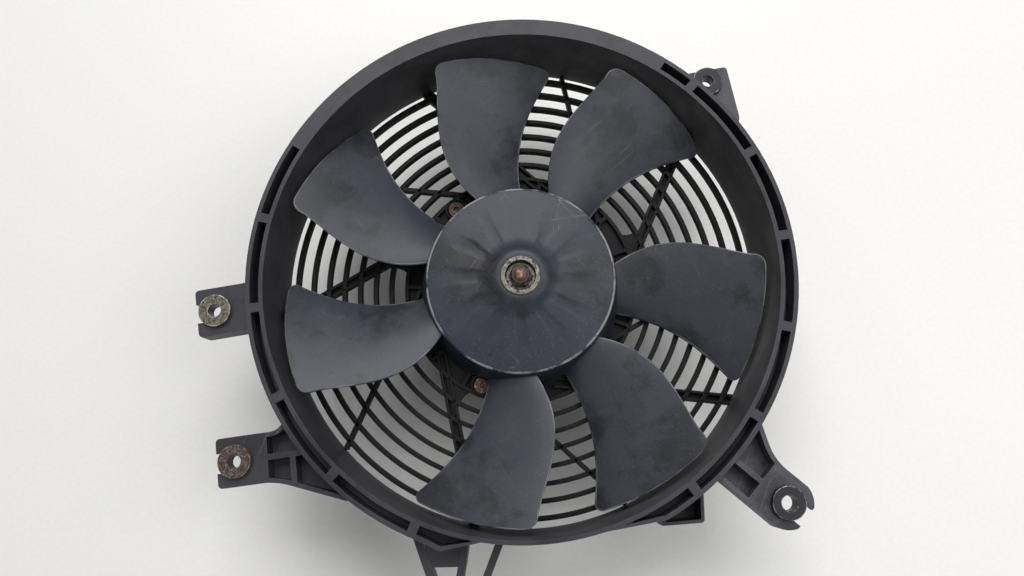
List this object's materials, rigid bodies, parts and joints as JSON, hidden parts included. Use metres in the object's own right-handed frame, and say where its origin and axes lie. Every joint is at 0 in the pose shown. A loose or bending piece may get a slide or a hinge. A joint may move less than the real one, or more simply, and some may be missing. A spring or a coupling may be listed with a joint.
{
  "type": "radiator fan assembly",
  "caption": "Electric radiator fan: a round moulded shroud with rear guard and fork-ended mounting lugs, a bladed fan on a flat direct-current motor.",
  "frame": {"origin": "on the fan's axis, in the plane of the rim's flat face", "axes": "+Z along the fan's axis, out of the air mouth; +X and +Y across the rim, as seen in the picture with +Y up"},
  "size_m": [0.3642, 0.379, 0.111],
  "materials": {
    "shroud_plastic": "moulded glass-filled nylon, dusty and scuffed",
    "fan_plastic": "moulded plastic with a low sheen, dusty",
    "zinc_steel": "turned steel with dulled zinc plate",
    "rusty_steel": "turned steel, rusted",
    "black_steel": "turned steel, black coated",
    "lock_nut_steel": "plated steel, stained",
    "shaft_steel": "ground steel with light rust",
    "motor_paint": "satin black paint on drawn steel",
    "sintered_bronze": "oiled sintered bronze",
    "ferrite": "ground ferrite",
    "insulating_board": "phenolic board",
    "carbon": "graphite",
    "spring_steel": "bright spring wire",
    "gland_rubber": "moulded rubber",
    "core_steel": "stacked laminations",
    "copper": "enamelled copper"
  },
  "bodies": {
    "shroud": {"shroud_ring": "shroud_plastic", "rear_guard": "shroud_plastic", "lug_upper_left": "shroud_plastic", "lug_lower_left": "shroud_plastic", "lug_lower_right": "shroud_plastic", "lug_upper_right": "shroud_plastic", "bottom_bracket": "shroud_plastic", "connector_holder": "shroud_plastic", "bush_upper_left": "zinc_steel", "bush_lower_left": "rusty_steel", "bush_lower_right": "black_steel", "bush_upper_right": "black_steel", "bush_bottom": "zinc_steel", "motor_screws": "rusty_steel", "motor_flange": "motor_paint", "motor_can": "motor_paint", "motor_front_cover": "motor_paint", "front_bearing": "sintered_bronze", "rear_bearing": "sintered_bronze", "field_magnets": "ferrite", "brush_card": "insulating_board", "carbon_brushes": "carbon", "brush_springs": "spring_steel", "lead_gland": "gland_rubber"},
    "rotor": {"fan": "fan_plastic", "hub_insert": "zinc_steel", "lock_nut": "lock_nut_steel", "motor_shaft": "shaft_steel", "shaft_spacer": "shaft_steel", "armature_core": "core_steel", "armature_windings": "copper", "commutator": "copper"}
  },
  "joints": [
    {"name": "fan_spin", "type": "hinge", "parent": "shroud", "child": "rotor", "pos_m": [0, 0, 0], "axis": [0, 0, 1], "continuous": true}
  ]
}
